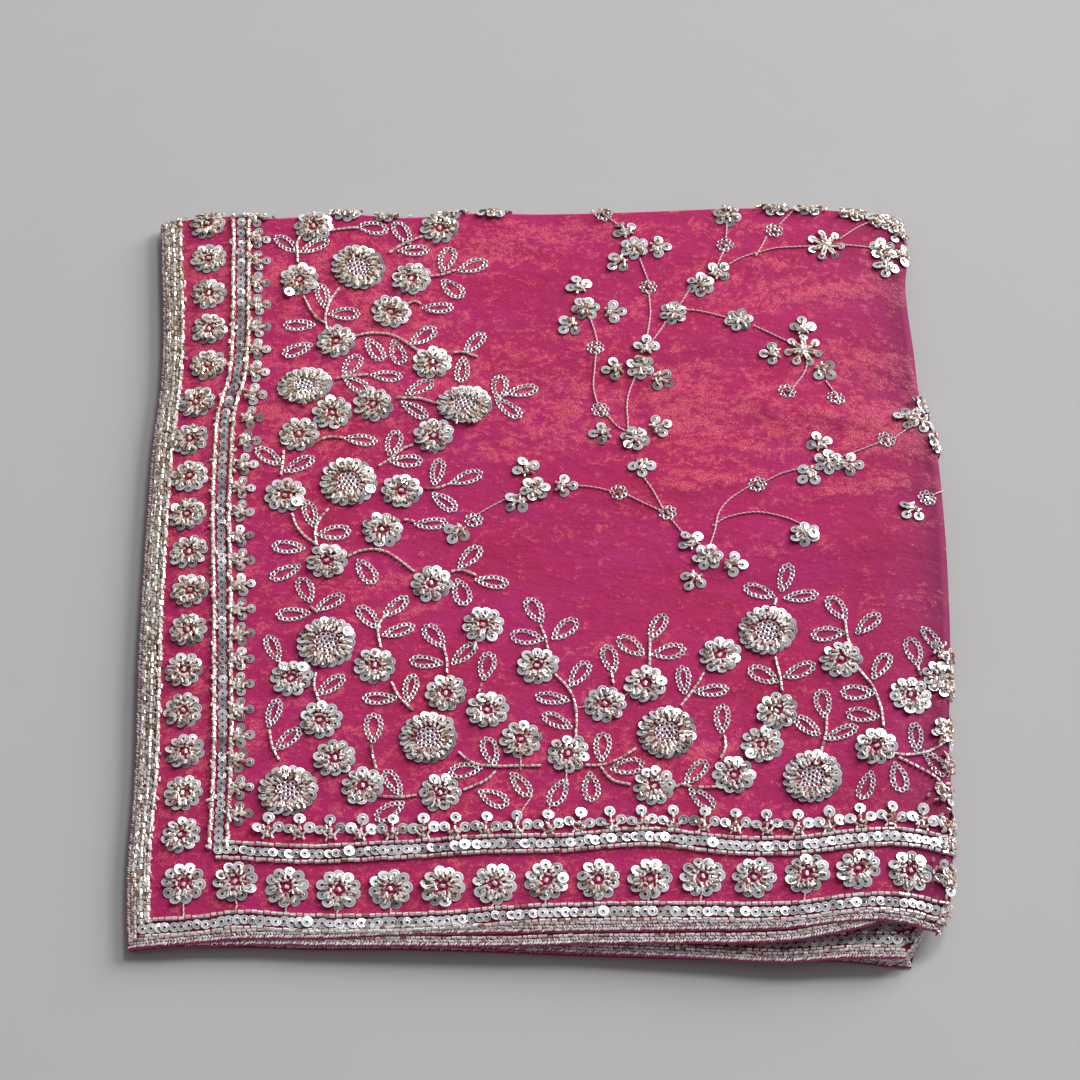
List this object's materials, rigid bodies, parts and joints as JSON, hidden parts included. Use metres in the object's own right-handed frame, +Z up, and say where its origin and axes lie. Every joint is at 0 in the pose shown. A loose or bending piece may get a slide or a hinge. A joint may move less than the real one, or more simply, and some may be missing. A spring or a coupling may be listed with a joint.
{
  "type": "folded dupatta stole",
  "caption": "Sequinned and beaded dupatta stole, folded into a flat square stack with its border corner on top.",
  "frame": {"origin": "middle of the underside, on the surface that the folded stole lies on", "axes": "+X to the fold at the right, -Y to the front where the selvages lie, +Z up"},
  "size_m": [0.442, 0.4836, 0.0217],
  "materials": {
    "cloth_face": "magenta tissue organza, shot with coral, softly lustrous",
    "cloth_reverse": "reverse of the same organza, duller",
    "beaded_edging": "silver and champagne bead lattice over magenta piping",
    "silver_sequin": "silvered film sequins, mirror bright to satin",
    "champagne_bead": "silver lined champagne bugle and cutdana beads"
  },
  "bodies": {
    "root": {"top_stretch": "cloth_face", "third_stretch": "cloth_face", "second_stretch": "cloth_reverse", "bottom_stretch": "cloth_reverse", "folded_layers": "cloth_reverse", "top_edging": "beaded_edging", "second_edging": "beaded_edging", "third_edging": "beaded_edging", "bottom_edging": "beaded_edging", "outer_band": "silver_sequin", "inner_band": "champagne_bead"}
  },
  "joints": []
}
